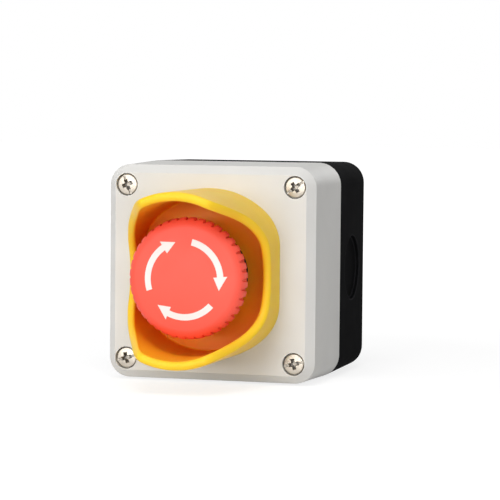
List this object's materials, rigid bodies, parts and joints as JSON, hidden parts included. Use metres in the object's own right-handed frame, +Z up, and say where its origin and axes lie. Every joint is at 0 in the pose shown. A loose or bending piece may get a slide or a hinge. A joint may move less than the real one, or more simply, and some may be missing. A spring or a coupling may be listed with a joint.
{
  "type": "emergency stop button box",
  "caption": "Wall-mounted emergency stop box with a two-part casing, a scooped yellow guard and a red mushroom push button that is pressed to open a contact and twisted to release.",
  "frame": {"origin": "centre of the box's flat back, which is screwed to the wall", "axes": "+Z up, +X to the right as the user sees the front, the button faces -Y and is pressed along +Y"},
  "size_m": [0.074, 0.107, 0.074],
  "materials": {
    "cover_grey": "fine moulded grain, warm light grey",
    "base_black": "satin moulded black",
    "guard_yellow": "satin signal yellow",
    "cap_red": "satin signal red with white twist arrows",
    "screw_steel": "nickel-plated steel",
    "seal_rubber": "black elastomer",
    "brass": "plain brass",
    "operator_black": "satin moulded black",
    "stem_grey": "plain moulded grey",
    "carrier_grey": "plain moulded dark grey",
    "lever_yellow": "plain moulded yellow",
    "spring_steel": "bright spring steel",
    "block_red": "plain moulded red",
    "block_green": "plain moulded green",
    "plunger_white": "plain moulded white",
    "contact_silver": "silver-faced contact strip"
  },
  "bodies": {
    "enclosure": {"rear_base": "base_black", "front_cover": "cover_grey", "cover_gasket": "seal_rubber", "cover_screws": "screw_steel", "threaded_inserts": "brass", "guard_shroud": "guard_yellow", "guard_seal": "seal_rubber", "operator_body": "operator_black", "bezel_seal": "seal_rubber", "lock_washer": "spring_steel", "mounting_nut": "operator_black", "latch_spring": "spring_steel", "stem_seal": "seal_rubber", "spring_retainer": "operator_black", "contact_carrier": "carrier_grey", "lever_pin": "spring_steel", "nc_housing": "block_red", "nc_cover": "block_red", "nc_terminals": "brass", "nc_terminal_screws": "screw_steel", "no_housing": "block_green", "no_cover": "block_green", "no_terminals": "brass", "no_terminal_screws": "screw_steel"},
    "stem": {"plunger_stem": "stem_grey", "push_plate": "stem_grey", "stem_circlip": "spring_steel", "return_spring": "spring_steel"},
    "cap": {"mushroom_cap": "cap_red", "torsion_spring": "spring_steel"},
    "nc_actuator": {"nc_plunger": "plunger_white", "nc_bridge": "contact_silver", "nc_spring": "spring_steel"},
    "no_actuator": {"no_plunger": "plunger_white", "no_bridge": "contact_silver", "no_spring": "spring_steel"},
    "lock_lever": {"carrier_lever": "lever_yellow"}
  },
  "joints": [
    {"name": "press", "type": "slide", "parent": "enclosure", "child": "stem", "axis": [0, 1, 0], "range_m": [0, 0.005], "stiffness_N_per_m": 1500, "springref_m": -0.004, "deforming": ["return_spring"]},
    {"name": "twist", "type": "hinge", "parent": "stem", "child": "cap", "pos_m": [0, -0.09, 0], "axis": [0, 1, 0], "range_deg": [0, 45], "stiffness_Nm_per_rad": 0.05, "springref_deg": -20.05},
    {"name": "nc_push", "type": "slide", "parent": "enclosure", "child": "nc_actuator", "axis": [0, 1, 0], "range_m": [0, 0.005], "deforming": ["nc_spring"]},
    {"name": "no_push", "type": "slide", "parent": "enclosure", "child": "no_actuator", "axis": [0, 1, 0], "range_m": [0, 0.005], "deforming": ["no_spring"]},
    {"name": "carrier_lock", "type": "hinge", "parent": "enclosure", "child": "lock_lever", "pos_m": [-0.011, -0.049, 0.0165], "axis": [0, -1, 0], "range_deg": [0, 35]}
  ],
  "couplings": [
    {"joint": "nc_push", "follows": "press", "ratio": 1},
    {"joint": "no_push", "follows": "press", "ratio": 1}
  ]
}
